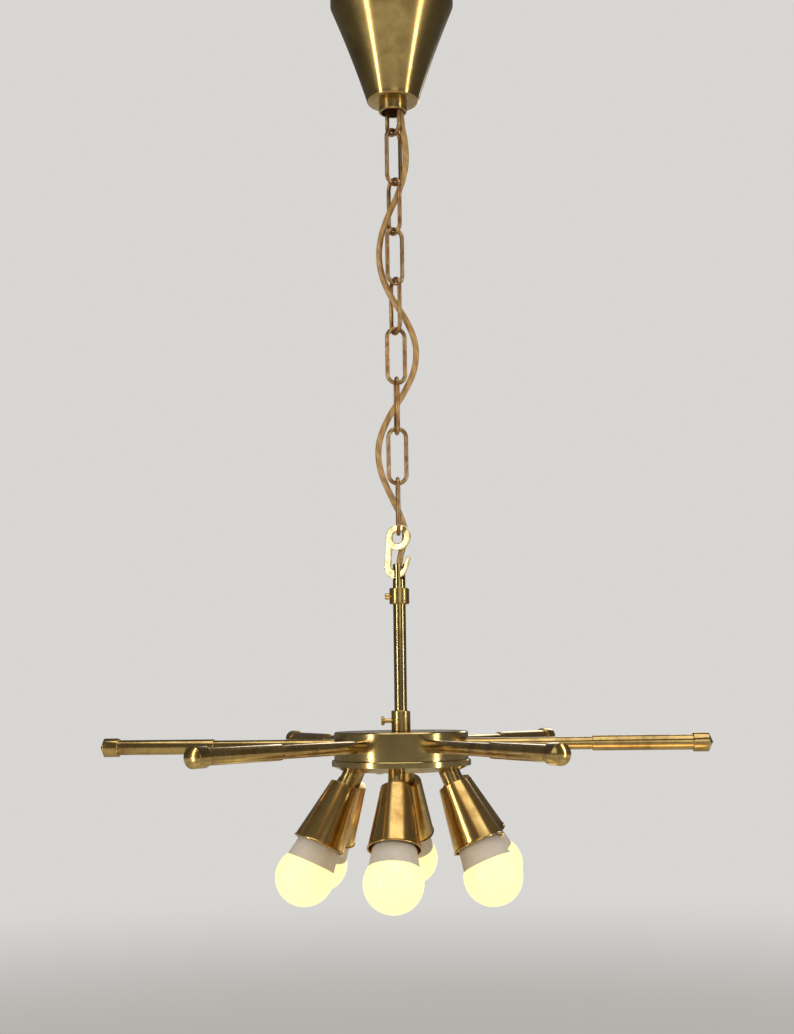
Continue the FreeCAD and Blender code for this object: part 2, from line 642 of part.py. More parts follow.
def hub_terminal():
    """Block on the base's floor, under the tube's end, where the flex meets the lamps' wires."""
    top = FLEX_ROUTE[-1][2] - PLAY
    corner = Vector(-HUB_BLOCK_LENGTH / 2, -HUB_BLOCK_WIDTH / 2, FLOOR)
    return Part.makeBox(HUB_BLOCK_LENGTH, HUB_BLOCK_WIDTH, top - FLOOR, corner)


def arm(index):
    """Arm tube with its nut inside the drum, the wider sleeve over it and the turned end."""
    sleeve_bore = ARM_RADIUS + FIT
    sleeve_end = ARM_REACH - END_POINT - END_LENGTH
    inner_tube = turned([
        (ARM_RADIUS - ARM_TUBE_WALL, ARM_INNER_END), (ARM_RADIUS, ARM_INNER_END),
        (ARM_RADIUS, SLEEVE_START + SLEEVE_OVERLAP), (ARM_RADIUS - ARM_TUBE_WALL, SLEEVE_START + SLEEVE_OVERLAP),
    ])
    sleeve = turned([
        (sleeve_bore, SLEEVE_START), (ARM_SLEEVE_RADIUS - EDGE, SLEEVE_START),
        (ARM_SLEEVE_RADIUS, SLEEVE_START + EDGE), (ARM_SLEEVE_RADIUS, sleeve_end), (sleeve_bore, sleeve_end),
    ])
    end = turned([
        (0, sleeve_end - END_SPIGOT), (ARM_RADIUS, sleeve_end - END_SPIGOT), (ARM_RADIUS, sleeve_end),
        (END_RADIUS - EDGE, sleeve_end), (END_RADIUS, sleeve_end + EDGE),
        (END_RADIUS, sleeve_end + END_LENGTH), (0, ARM_REACH),
    ])
    wall = math.sqrt((HUB_RADIUS - HUB_WALL) ** 2 - ARM_NUT_RADIUS ** 2)
    nut = ring(ARM_NUT_RADIUS, ARM_RADIUS + FIT, wall - ARM_NUT_THICK - FIT, wall - FIT)
    return moved(Part.makeCompound([inner_tube, nut, sleeve, end]), outward(arm_turn(index), ARM_LEVEL))


def cup(index):
    """Spun cone with a flat top and a beaded rim."""
    top = CUP_LENGTH
    slope = (CUP_RIM_RADIUS - CUP_TOP_RADIUS) / CUP_LENGTH
    inside_top = CUP_TOP_RADIUS + slope * CUP_WALL - CUP_WALL
    cone = turned([
        (NIPPLE_RADIUS + FIT, top - CUP_WALL), (inside_top, top - CUP_WALL),
        (CUP_RIM_RADIUS - CUP_WALL, 0), (CUP_RIM_RADIUS + CUP_BEAD, 0),
        (CUP_RIM_RADIUS + CUP_BEAD, CUP_WALL), (CUP_RIM_RADIUS - slope * 2 * CUP_WALL, 2 * CUP_WALL),
        (CUP_TOP_RADIUS + slope * EDGE, top - EDGE), (CUP_TOP_RADIUS - EDGE, top), (NIPPLE_RADIUS + FIT, top),
    ])
    return moved(cone, cup_placement(index))


def cup_necks():
    """Short sleeves round the nipples, from each cup's top to the base, cut to meet its bevel."""
    envelope = turned([
        (0, BASE_BOTTOM), (BASE_RADIUS, BASE_BOTTOM), (LIP_RADIUS, BASE_BOTTOM + BEVEL_HEIGHT),
        (LIP_RADIUS, HUB_TOP), (0, HUB_TOP),
    ])
    length = along_cup(BASE_BOTTOM + BEVEL_HEIGHT) + NECK_RADIUS - CUP_LENGTH
    sleeve = Part.makeCylinder(NECK_RADIUS, length, Vector(0, 0, CUP_LENGTH))
    sleeve = sleeve.cut(Part.makeCylinder(NIPPLE_RADIUS + FIT, length, Vector(0, 0, CUP_LENGTH)))
    return Part.makeCompound([moved(sleeve, cup_placement(index)).cut(envelope) for index in range(COUNT)])


def cup_nipples():
    """Threaded tubes from the base's bosses through the necks into the lamp holders."""
    low = CUP_LENGTH - CUP_WALL - NIPPLE_SOCKET
    high = along_cup(FLOOR) + BOSS_HEIGHT
    nipple = turned([(NIPPLE_BORE, low), (NIPPLE_RADIUS, low), (NIPPLE_RADIUS, high), (NIPPLE_BORE, high)])
    return Part.makeCompound([moved(nipple, cup_placement(index)) for index in range(COUNT)])


def lamp_holders():
    """Holders screwed onto the nipples under the cups' tops, open downwards for the lamps' bases."""
    top = CUP_LENGTH - CUP_WALL - FIT
    shoulder = top - HOLDER_CAP_HEIGHT
    bore_top = HOLDER_RISE + HOLDER_BORE_DEPTH
    socket = top - NIPPLE_SOCKET
    bore = BASE_SHELL_RADIUS + PLAY
    holder = turned([
        (bore, HOLDER_RISE), (HOLDER_RADIUS - EDGE, HOLDER_RISE), (HOLDER_RADIUS, HOLDER_RISE + EDGE),
        (HOLDER_RADIUS, shoulder - EDGE), (HOLDER_CAP_RADIUS, shoulder), (HOLDER_CAP_RADIUS, top),
        (NIPPLE_RADIUS + FIT, top), (NIPPLE_RADIUS + FIT, socket), (CONTACT_RADIUS, socket),
        (CONTACT_RADIUS, bore_top), (bore, bore_top),
    ])
    return Part.makeCompound([moved(holder, cup_placement(index)) for index in range(COUNT)])


def bulb(index):
    """A round lamp: globe, housing, screw base and contact, on the cup's axis."""
    edge = -GLOBE_DROP + HOUSING_EDGE_RISE
    seat = HOLDER_RISE - PLAY
    base_top = seat + BASE_SHELL_HEIGHT
    housing = turned([
        (0, edge), (HOUSING_EDGE_RADIUS, edge), (HOUSING_RIM_RADIUS, 0), (HOUSING_NECK_RADIUS, seat), (0, seat),
    ])
    shell = Part.makeCylinder(BASE_SHELL_RADIUS, BASE_SHELL_HEIGHT, Vector(0, 0, seat))
    contact = Part.makeCylinder(CONTACT_RADIUS, CONTACT_HEIGHT, Vector(0, 0, base_top))
    centre = Vector(0, 0, -GLOBE_DROP)
    globe = Part.makeSphere(GLOBE_RADIUS, centre).cut(Part.makeSphere(GLOBE_RADIUS - GLOBE_WALL, centre))
    above = Part.makeCylinder(2 * GLOBE_RADIUS, 2 * GLOBE_RADIUS, Vector(0, 0, edge))
    return moved(Part.makeCompound([globe.cut(above), housing, shell, contact]), cup_placement(index))


def assembly():
    """Every node of the lamp, by name."""
    nodes = {
        "ceiling_hook": ceiling_hook(),
        "terminal_block": terminal_block(),
        "canopy": canopy(),
        "canopy_collar": canopy_collar(),
        "canopy_screw": canopy_screw(),
    }
    for index in range(len(LINK_TURNS)):
        nodes["chain_link_%02d" % (index + 1)] = moved(chain_link(), link_placement(index))
    nodes.update(flex())
    nodes.update({
        "hook": hook(),
        "tube": tube(),
        "tube_nut": tube_nut(),
        "clamp_collar": clamp_collar(),
        "clamp_screw": clamp_screw(),
        "hub_cover": hub_cover(),
        "hub_base": hub_base(),
        "base_screws": base_screws(),
        "hub_collar": hub_collar(),
        "thumb_screw": thumb_screw(),
        "hub_terminal": hub_terminal(),
        "cup_necks": cup_necks(),
        "cup_nipples": cup_nipples(),
        "lamp_holders": lamp_holders(),
    })
    for index in range(COUNT):
        nodes["arm_%d" % (index + 1)] = arm(index)
        nodes["cup_%d" % (index + 1)] = cup(index)
        nodes["bulb_%d" % (index + 1)] = bulb(index)
    return nodes


os.makedirs("parts", exist_ok=True)
for name, shape in assembly().items():
    shape.exportStep("parts/%s.step" % name)
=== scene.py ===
import math

import bmesh
import bpy
from mathutils import Matrix, Vector


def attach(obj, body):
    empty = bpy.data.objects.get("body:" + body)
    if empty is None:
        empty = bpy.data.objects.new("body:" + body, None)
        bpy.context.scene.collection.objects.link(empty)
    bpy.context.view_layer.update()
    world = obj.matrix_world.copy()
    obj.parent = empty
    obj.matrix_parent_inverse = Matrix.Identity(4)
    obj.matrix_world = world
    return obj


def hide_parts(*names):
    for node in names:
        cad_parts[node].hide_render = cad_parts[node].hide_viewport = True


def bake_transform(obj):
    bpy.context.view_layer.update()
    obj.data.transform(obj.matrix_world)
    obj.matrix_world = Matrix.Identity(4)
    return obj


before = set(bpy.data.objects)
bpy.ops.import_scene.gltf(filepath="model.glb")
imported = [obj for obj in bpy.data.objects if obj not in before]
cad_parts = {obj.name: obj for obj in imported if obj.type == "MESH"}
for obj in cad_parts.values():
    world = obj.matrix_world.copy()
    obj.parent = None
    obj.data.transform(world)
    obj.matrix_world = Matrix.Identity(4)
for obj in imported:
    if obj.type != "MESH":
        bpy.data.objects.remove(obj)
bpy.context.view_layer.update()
MM = 0.001


# ---- Viewpoint -------------------------------------------------------------------------------------------
# The lamp is seen from a little below its arms and straight on, with the canopy cut by the picture's top.
# The picture's roll and its raised framing follow the photograph.
VIEW_AZIMUTH = math.radians(4.8)
VIEW_DISTANCE = 1.120
VIEW_HEIGHT = -0.561
VIEW_PITCH = math.radians(2.27)
VIEW_ROLL = math.radians(0.75)
VIEW_ASIDE = math.radians(0.147)

camera_data = bpy.data.cameras.new("viewpoint")
camera_data.lens = 49.2
camera_data.sensor_width = 36.0
camera_data.shift_y = 0.12
camera_data.clip_start = 0.05
camera = bpy.data.objects.new("viewpoint", camera_data)
camera.location = (VIEW_DISTANCE * math.sin(VIEW_AZIMUTH), -VIEW_DISTANCE * math.cos(VIEW_AZIMUTH),
                   VIEW_HEIGHT)
camera.rotation_euler = (math.pi / 2 + VIEW_PITCH, VIEW_ROLL, VIEW_AZIMUTH + VIEW_ASIDE)
bpy.context.scene.collection.objects.link(camera)
bpy.context.scene.camera = camera
bpy.context.scene.view_settings.view_transform = "Standard"


# ---- Studio ----------------------------------------------------------------------------------------------
# A plain pale floor well below the lamp, which fades into the background, a pale surround and soft lamps:
# a broad one overhead, a strip on each side that draws the highlights along the brass, a fill in front, a
# rim behind and a warm one low down.
FLOOR_LEVEL = -1.30
FLOOR_HALF_WIDTH = 9.0
FADE_START = 1.2
FADE_END = 4.5
PALE = (0.69, 0.675, 0.65, 1.0)
FLOOR_PALE = (0.66, 0.64, 0.61, 1.0)
SURROUND_LIGHT = 0.52
SURROUND_GLOSS = 0.18  # dimmer in reflections, so that the brass has depth
LAMP_TARGET = (0, 0, -0.45)
SOFT_LAMPS = [  # name, place, size, power, colour
    ("overhead", (0.2, -0.3, 1.1), (1.6, 1.6), 15.0, (1.0, 0.98, 0.95)),
    ("left_strip", (-1.3, -1.2, -0.25), (0.12, 1.7), 13.0, (1.0, 0.95, 0.85)),
    ("right_strip", (1.6, -0.7, -0.2), (0.16, 1.6), 10.0, (1.0, 0.95, 0.86)),
    ("front_fill", (0.5, -2.2, 0.1), (1.2, 1.0), 5.0, (1.0, 0.98, 0.96)),
    ("back_rim", (0.3, 1.9, 0.2), (1.2, 0.5), 6.0, (1.0, 0.97, 0.94)),
    ("low_warm", (0.1, -0.5, -1.25), (0.5, 0.5), 2.2, (1.0, 0.62, 0.26)),
]


def node(tree, kind, **settings):
    """A shader node with its settings."""
    made = tree.nodes.new("ShaderNode" + kind)
    for name, value in settings.items():
        setattr(made, name, value)
    return made


def wire(tree, start, end):
    """Joins an output to an input."""
    tree.links.new(start, end)


def pale_surround():
    """World that shows the pale background in the picture, dimmer in gloss, and gives a level light."""
    world = bpy.data.worlds.new("surround")
    bpy.context.scene.world = world
    world.use_nodes = True
    tree = world.node_tree
    background = tree.nodes["Background"]
    background.inputs["Color"].default_value = PALE
    path = node(tree, "LightPath")
    in_gloss = node(tree, "Math", operation="MULTIPLY_ADD")
    in_gloss.inputs[1].default_value = SURROUND_GLOSS - SURROUND_LIGHT
    in_gloss.inputs[2].default_value = SURROUND_LIGHT
    in_picture = node(tree, "Math", operation="MULTIPLY_ADD")
    in_picture.inputs[1].default_value = 1.0 - SURROUND_LIGHT
    wire(tree, path.outputs["Is Glossy Ray"], in_gloss.inputs[0])
    wire(tree, path.outputs["Is Camera Ray"], in_picture.inputs[0])
    wire(tree, in_gloss.outputs[0], in_picture.inputs[2])
    wire(tree, in_picture.outputs[0], background.inputs["Strength"])


def pale_floor():
    """Floor whose far part takes the background's own tone, so that no horizon shows."""
    mesh = bpy.data.meshes.new("floor")
    w = FLOOR_HALF_WIDTH
    mesh.from_pydata([(-w, -w, FLOOR_LEVEL), (w, -w, FLOOR_LEVEL), (w, w, FLOOR_LEVEL), (-w, w, FLOOR_LEVEL)],
                     [], [(0, 1, 2, 3)])
    material = bpy.data.materials.new("pale_floor")
    material.use_nodes = True
    tree = material.node_tree
    near = tree.nodes["Principled BSDF"]
    near.inputs["Base Color"].default_value = FLOOR_PALE
    near.inputs["Roughness"].default_value = 0.9
    far = node(tree, "Emission")
    far.inputs["Color"].default_value = PALE
    place = node(tree, "TexCoord")
    distance = node(tree, "VectorMath", operation="LENGTH")
    fade = node(tree, "MapRange", interpolation_type="SMOOTHSTEP")
    fade.inputs["From Min"].default_value = FADE_START
    fade.inputs["From Max"].default_value = FADE_END
    blend = node(tree, "MixShader")
    wire(tree, place.outputs["Object"], distance.inputs[0])
    wire(tree, distance.outputs["Value"], fade.inputs["Value"])
    wire(tree, fade.outputs[0], blend.inputs["Fac"])
    wire(tree, near.outputs[0], blend.inputs[1])
    wire(tree, far.outputs[0], blend.inputs[2])
    wire(tree, blend.outputs[0], tree.nodes["Material Output"].inputs["Surface"])
    mesh.materials.append(material)
    floor = bpy.data.objects.new("floor", mesh)
    bpy.context.scene.collection.objects.link(floor)


def soft_lamp(name, place, size, power, colour):
    """Area lamp that faces the chandelier's middle."""
    data = bpy.data.lights.new(name, "AREA")
    data.shape = "RECTANGLE"
    data.size, data.size_y = size
    data.energy = power
    data.color = colour
    lamp = bpy.data.objects.new(name, data)
    lamp.location = place
    lamp.rotation_euler = (Vector(LAMP_TARGET) - Vector(place)).to_track_quat("-Z", "Y").to_euler()
    bpy.context.scene.collection.objects.link(lamp)


pale_surround()
pale_floor()
for lamp_facts in SOFT_LAMPS:
    soft_lamp(*lamp_facts)


# ---- Ceiling hook and supply block -------------------------------------------------------------------------
# A zinc-plated steel plate, screwed to the ceiling through two holes, with a bent hook welded under it.
# The ivory two-way block beside the hook joins the flex to the supply. The canopy covers both.
ZINC = (0.50, 0.49, 0.46)
ZINC_DULL = (0.30, 0.29, 0.27)
IVORY = (0.72, 0.64, 0.47)
IVORY_DUSTY = (0.55, 0.47, 0.33)


def mottled(name, clean, dirty, roughness, metallic=0.0, grain=90.0, relief=0.00004, share=0.5):
    """Two tones of one finish in soft patches, with a faintly uneven surface. Returns the material, its tree,
    its shader and the patches' output."""
    material = bpy.data.materials.new(name)
    material.use_nodes = True
    tree = material.node_tree
    shader = tree.nodes["Principled BSDF"]
    shader.inputs["Metallic"].default_value = metallic
    place = node(tree, "TexCoord")
    patches = node(tree, "TexNoise")
    patches.inputs["Scale"].default_value = grain
    patches.inputs["Detail"].default_value = 7.0
    patches.inputs["Roughness"].default_value = 0.62
    tones = node(tree, "ValToRGB")
    tones.color_ramp.elements[0].position = max(0.0, share - 0.16)
    tones.color_ramp.elements[1].position = min(1.0, share + 0.16)
    tones.color_ramp.elements[0].color = (*dirty, 1.0)
    tones.color_ramp.elements[1].color = (*clean, 1.0)
    rough = node(tree, "MapRange")
    rough.inputs["From Min"].default_value = 0.3
    rough.inputs["From Max"].default_value = 0.7
    rough.inputs["To Min"].default_value = min(1.0, roughness * 1.5)
    rough.inputs["To Max"].default_value = roughness * 0.8
    fine = node(tree, "TexNoise")
    fine.inputs["Scale"].default_value = grain * 14
    fine.inputs["Detail"].default_value = 3.0
    bump = node(tree, "Bump")
    bump.inputs["Strength"].default_value = 0.35
    bump.inputs["Distance"].default_value = relief
    wire(tree, place.outputs["Object"], patches.inputs["Vector"])
    wire(tree, place.outputs["Object"], fine.inputs["Vector"])
    wire(tree, patches.outputs["Fac"], tones.inputs["Fac"])
    wire(tree, patches.outputs["Fac"], rough.inputs["Value"])
    wire(tree, tones.outputs["Color"], shader.inputs["Base Color"])
    wire(tree, rough.outputs[0], shader.inputs["Roughness"])
    wire(tree, fine.outputs["Fac"], bump.inputs["Height"])
    wire(tree, bump.outputs[0], shader.inputs["Normal"])
    return material, tree, shader, tones


def finished(cad_node, material):
    """Gives a CAD piece that stays in view its real finish."""
    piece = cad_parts[cad_node]
    piece.data.materials.clear()
    piece.data.materials.append(material)


def placed(name, mesh, material, body, slot, *cad_nodes):
    """A finished piece: its material, the body it moves with, and the nodes it stands for."""
    piece = bpy.data.objects.new(name, mesh)
    bpy.context.scene.collection.objects.link(piece)
    mesh.materials.clear()
    mesh.materials.append(material)
    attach(piece, body)
    if cad_nodes:
        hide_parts(*cad_nodes)
    return piece


def smooth(mesh, crease=32.0):
    """Rounds the shading of a mesh and keeps its edges."""
    mesh.shade_smooth()
    mesh.set_sharp_from_angle(angle=math.radians(crease))
    return mesh


def whole_copy(cad_node, name):
    """The CAD piece's mesh with its triangles joined, so that its shading runs smoothly."""
    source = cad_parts[cad_node].data
    mesh = bpy.data.meshes.new(name)
    mesh.from_pydata([v.co for v in source.vertices], [], [list(p.vertices) for p in source.polygons])
    work = bmesh.new()
    work.from_mesh(mesh)
    bmesh.ops.remove_doubles(work, verts=work.verts, dist=0.000002)
    work.to_mesh(mesh)
    work.free()
    return smooth(mesh)


def refinished(cad_node, name, material, body, slot):
    """The CAD piece's own form, smoothly shaded and in its real finish."""
    return placed(name, whole_copy(cad_node, name), material, body, slot, cad_node)


zinc, *_ = mottled("zinc_plate", ZINC, ZINC_DULL, 0.42, metallic=1.0, grain=120.0)
ivory, *_ = mottled("ivory_plastic", IVORY, IVORY_DUSTY, 0.5, grain=60.0)
refinished("ceiling_hook", "ceiling_plate_and_hook", zinc, "fixed", "steel")
finished("terminal_block", ivory)


# ---- Canopy ----------------------------------------------------------------------------------------------
# A cone spun from sheet brass, with a short upright lip against the ceiling, a slightly hollow side and a
# flat bottom. Its lacquer has gone: the brass is dark and olive, and coppery where it faces the lamps.
CANOPY_RADIUS = 49.4 * MM
CANOPY_LIP = 4.0 * MM
CANOPY_HEIGHT = 83.0 * MM
CANOPY_SMALL_RADIUS = 20.9 * MM
CANOPY_HOLLOW = 1.0 * MM
CANOPY_EDGE = 2.0 * MM
CANOPY_WALL = 1.0 * MM
CANOPY_BREAK = 0.3 * MM  # broken edge at the ceiling
COLLAR_HOLE = 10.65 * MM
BRASS_OLIVE = (0.46, 0.33, 0.12)
BRASS_TARNISH = (0.22, 0.14, 0.05)
SPUN_SIDES = 128


def softened(corners, steps=4):
    """An outline from (radius, height, rounding) corners, each rounded by an arc of its own size."""
    outline = []
    count = len(corners)
    for index, (radius, height, rounding) in enumerate(corners):
        here = Vector((radius, height))
        back = Vector(corners[index - 1][:2]) - here
        ahead = Vector(corners[(index + 1) % count][:2]) - here
        turn = math.pi - back.angle(ahead)
        if rounding <= 0 or turn < 0.02:
            outline.append(here)
            continue
        reach = min(rounding * math.tan(turn / 2), back.length * 0.48, ahead.length * 0.48)
        start, end = here + back.normalized() * reach, here + ahead.normalized() * reach
        for step in range(steps + 1):
            share = step / steps
            outline.append(start * (1 - share) ** 2 + here * 2 * share * (1 - share) + end * share ** 2)
    return outline


def in_metres(*corners):
    """(radius, height, rounding) corners from millimetres."""
    return [tuple(part * MM for part in corner) for corner in corners]


def turned(name, outline, sides=96, place=Matrix.Identity(4), crease=32.0):
    """Revolves a closed outline of (radius, height) points about Z, then puts it in place. The map named
    turned runs round the piece in x and along its outline, in metres, in y."""
    work = bmesh.new()
    along = [0.0]
    for before, after in zip(outline, outline[1:] + outline[:1]):
        along.append(along[-1] + (Vector(after) - Vector(before)).length)
    rings = []
    for radius, height in outline:
        if radius < 1e-7:
            rings.append([work.verts.new((0, 0, height))] * sides)
        else:
            rings.append([work.verts.new((radius * math.cos(2 * math.pi * side / sides),
                                          radius * math.sin(2 * math.pi * side / sides), height))
                          for side in range(sides)])
    layer = work.loops.layers.uv.new("turned")
    for index, ring in enumerate(rings):
        following = rings[(index + 1) % len(rings)]
        for side in range(sides):
            beside = (side + 1) % sides
            corners = [ring[side], ring[beside], following[beside], following[side]]
            marks = [(side, index), (side + 1, index), (side + 1, index + 1), (side, index + 1)]
            kept = [k for k in range(4) if corners[k] not in corners[:k]]
            if len(kept) < 3:
                continue
            face = work.faces.new([corners[k] for k in kept])
            for loop, k in zip(face.loops, kept):
                loop[layer].uv = (marks[k][0] / sides, along[marks[k][1]])
    bmesh.ops.recalc_face_normals(work, faces=work.faces)
    mesh = bpy.data.meshes.new(name)
    work.to_mesh(mesh)
    work.free()
    mesh.transform(place)
    return smooth(mesh, crease)


def aged_brass(name, clean, tarnish, roughness, grain=70.0, share=0.5, lines=0.25, specks=0.5):
    """Old brass with turning lines along the turned map, patches of tarnish and dark specks."""
    material, tree, shader, tones = mottled(name, clean, tarnish, roughness, 1.0, grain, 0.000004, share)
    place = node(tree, "TexCoord")
    dots = node(tree, "TexNoise")
    dots.inputs["Scale"].default_value = 900.0
    dots.inputs["Detail"].default_value = 2.0
    dotted = node(tree, "MapRange")
    dotted.inputs["From Min"].default_value = 0.7
    dotted.inputs["From Max"].default_value = 0.8
    dotted.inputs["To Max"].default_value = specks
    speckled = node(tree, "MixRGB")
    speckled.inputs["Color2"].default_value = (tarnish[0] * 0.5, tarnish[1] * 0.45, tarnish[2] * 0.4, 1.0)
    wire(tree, place.outputs["Object"], dots.inputs["Vector"])
    wire(tree, dots.outputs["Fac"], dotted.inputs["Value"])
    wire(tree, dotted.outputs[0], speckled.inputs["Fac"])
    wire(tree, tones.outputs["Color"], speckled.inputs["Color1"])
    wire(tree, speckled.outputs["Color"], shader.inputs["Base Color"])
    if lines > 0:
        turning = node(tree, "UVMap", uv_map="turned")
        split = node(tree, "SeparateXYZ")
        rows = node(tree, "TexNoise", noise_dimensions="1D")
        rows.inputs["Scale"].default_value = 5200.0
        rows.inputs["Detail"].default_value = 3.0
        old = shader.inputs["Normal"].links[0].from_node
        grooves = node(tree, "Bump")
        grooves.inputs["Strength"].default_value = lines
        grooves.inputs["Distance"].default_value = 0.00002
        wire(tree, turning.outputs["UV"], split.inputs[0])
        wire(tree, split.outputs["Y"], rows.inputs["W"])
        wire(tree, rows.outputs["Fac"], grooves.inputs["Height"])
        wire(tree, old.outputs[0], grooves.inputs["Normal"])
        wire(tree, grooves.outputs[0], shader.inputs["Normal"])
    return material


def arc_through(start, middle, end, steps):
    """Points of the circle through three (radius, height) points, from the first to the last."""
    (ax, ay), (bx, by), (cx, cy) = start, middle, end
    cross = 2 * (ax * (by - cy) + bx * (cy - ay) + cx * (ay - by))
    a2, b2, c2 = ax * ax + ay * ay, bx * bx + by * by, cx * cx + cy * cy
    centre = Vector(((a2 * (by - cy) + b2 * (cy - ay) + c2 * (ay - by)) / cross,
                     (a2 * (cx - bx) + b2 * (ax - cx) + c2 * (bx - ax)) / cross))
    first, last = Vector(start) - centre, Vector(end) - centre
    sweep = first.angle_signed(last)
    return [centre + Matrix.Rotation(-sweep * step / steps, 2) @ first for step in range(steps + 1)]


def canopy_side(inset):
    """The cone's side from the lip down to the rounded edge, moved inwards by inset."""
    lip = (CANOPY_RADIUS - inset, -CANOPY_LIP)
    foot = (CANOPY_SMALL_RADIUS - inset, -CANOPY_HEIGHT + CANOPY_EDGE)
    waist = ((lip[0] + foot[0]) / 2 - CANOPY_HOLLOW, (lip[1] + foot[1]) / 2)
    return arc_through(lip, waist, foot, 24)


def canopy_outline():
    """Outside from the lip to the bottom's hole, and back up the inside."""
    edge = CANOPY_EDGE
    bottom_out = []
    for share in (0.0, 0.08, 0.2, 0.4, 0.65, 1.0):
        rise = edge * (1 - math.sqrt(1 - (1 - share) ** 2))
        bottom_out.append(Vector((CANOPY_SMALL_RADIUS - edge * share, -CANOPY_HEIGHT + rise)))
    bottom_in = [point + Vector((-CANOPY_WALL * 0.6, CANOPY_WALL)) for point in bottom_out]
    brim = [Vector((CANOPY_RADIUS - CANOPY_BREAK, 0)), Vector((CANOPY_RADIUS, -CANOPY_BREAK))]
    outside = brim + canopy_side(0)
    inside = canopy_side(CANOPY_WALL)
    floor_out = Vector((COLLAR_HOLE, -CANOPY_HEIGHT))
    floor_in = Vector((COLLAR_HOLE, -CANOPY_HEIGHT + CANOPY_WALL))
    return (outside + bottom_out[1:] + [floor_out, floor_in] + bottom_in[:0:-1] + inside[::-1]
            + [Vector((CANOPY_RADIUS - CANOPY_WALL, 0))])


canopy_brass = aged_brass("canopy_brass", BRASS_OLIVE, BRASS_TARNISH, 0.15, grain=38.0, share=0.44,
                          lines=0.14)
placed("spun_canopy", turned("spun_canopy", canopy_outline(), SPUN_SIDES), canopy_brass,
       "fixed", "canopy_brass", "canopy")


# ---- Canopy's sleeve and grub screw ----------------------------------------------------------------------
# A short turned brass sleeve through the canopy's bottom, riveted over inside. The chain and the flex run
# through it, and a slotted grub screw in its wall holds the canopy up on the chain.
sleeve_brass = aged_brass("sleeve_brass", BRASS_OLIVE, BRASS_TARNISH, 0.26, share=0.5, lines=0.0)
screw_brass = aged_brass("screw_brass", (0.62, 0.45, 0.18), (0.26, 0.16, 0.05), 0.24, share=0.42, lines=0.0)
refinished("canopy_collar", "canopy_sleeve", sleeve_brass, "fixed", "aged_brass")
refinished("canopy_screw", "grub_screw", screw_brass, "canopy_screw", "screw_brass")


# ---- Chain -----------------------------------------------------------------------------------------------
# Open links of 3.3 mm round wire, bent to a butt joint halfway up one leg and brass-plated. The plating has
# worn reddish, and each link is turned against the one above it. The first two hang inside the canopy.
LINK_WIRE = 3.3 * MM
LINK_WIDTH = 17.5 * MM
LINK_PITCH = 40.3 * MM
LINK_LENGTH = 47.2 * MM
LINK_BUTT_GAP = 0.2 * MM
CHAIN_TOP = -26.5 * MM
CHAIN_TURN = 4.8
LINK_TURNS = [41, -49, 41, -53, 34, -62, 12, -84, 6, -88]
FIRST_FREE_LINK = 3
CHAIN_BRASS = (0.50, 0.34, 0.15)
CHAIN_RED = (0.20, 0.085, 0.035)


def link_tree():
    """Geometry nodes: a long round-ended loop of wire, trimmed by the butt joint's gap, as one mesh."""
    tree = bpy.data.node_groups.new("chain_link", "GeometryNodeTree")
    for name in ("Wire", "Width", "Length", "Butt Gap"):
        tree.interface.new_socket(name, in_out="INPUT", socket_type="NodeSocketFloat")
    tree.interface.new_socket("Finish", in_out="INPUT", socket_type="NodeSocketMaterial")
    tree.interface.new_socket("Geometry", in_out="OUTPUT", socket_type="NodeSocketGeometry")
    start = tree.nodes.new("NodeGroupInput")
    end = tree.nodes.new("NodeGroupOutput")

    def sum_of(kind, a, b):
        made = tree.nodes.new("ShaderNodeMath")
        made.operation = kind
        for socket, value in zip(made.inputs, (a, b)):
            if isinstance(value, float):
                socket.default_value = value
            else:
                tree.links.new(value, socket)
        return made.outputs[0]

    width = sum_of("SUBTRACT", start.outputs["Width"], start.outputs["Wire"])
    length = sum_of("SUBTRACT", start.outputs["Length"], start.outputs["Wire"])
    loop = tree.nodes.new("GeometryNodeCurvePrimitiveQuadrilateral")
    tree.links.new(width, loop.inputs["Width"])
    tree.links.new(length, loop.inputs["Height"])
    rounded = tree.nodes.new("GeometryNodeFilletCurve")
    rounded.mode = "POLY"
    rounded.inputs["Count"].default_value = 12
    tree.links.new(loop.outputs[0], rounded.inputs["Curve"])
    tree.links.new(sum_of("MULTIPLY", width, 0.4999), rounded.inputs["Radius"])
    fine = tree.nodes.new("GeometryNodeResampleCurve")
    fine.inputs["Count"].default_value = 97
    tree.links.new(rounded.outputs[0], fine.inputs["Curve"])
    section = tree.nodes.new("GeometryNodeCurvePrimitiveCircle")
    section.inputs["Resolution"].default_value = 20
    tree.links.new(sum_of("MULTIPLY", start.outputs["Wire"], 0.5), section.inputs["Radius"])
    trimmed = tree.nodes.new("GeometryNodeTrimCurve")
    trimmed.mode = "LENGTH"
    trimmed.inputs[2].default_value = 0.0
    measured = tree.nodes.new("GeometryNodeCurveLength")
    tree.links.new(fine.outputs[0], measured.inputs[0])
    tree.links.new(start.outputs["Butt Gap"], trimmed.inputs[4])
    tree.links.new(measured.outputs[0], trimmed.inputs[5])
    tree.links.new(fine.outputs[0], trimmed.inputs["Curve"])
    bar = tree.nodes.new("GeometryNodeCurveToMesh")
    bar.inputs["Fill Caps"].default_value = True
    tree.links.new(trimmed.outputs[0], bar.inputs["Curve"])
    tree.links.new(section.outputs[0], bar.inputs["Profile Curve"])
    real = tree.nodes.new("GeometryNodeRealizeInstances")
    tree.links.new(bar.outputs[0], real.inputs[0])
    coated = tree.nodes.new("GeometryNodeSetMaterial")
    tree.links.new(real.outputs[0], coated.inputs["Geometry"])
    tree.links.new(start.outputs["Finish"], coated.inputs["Material"])
    tree.links.new(coated.outputs[0], end.inputs[0])
    return tree


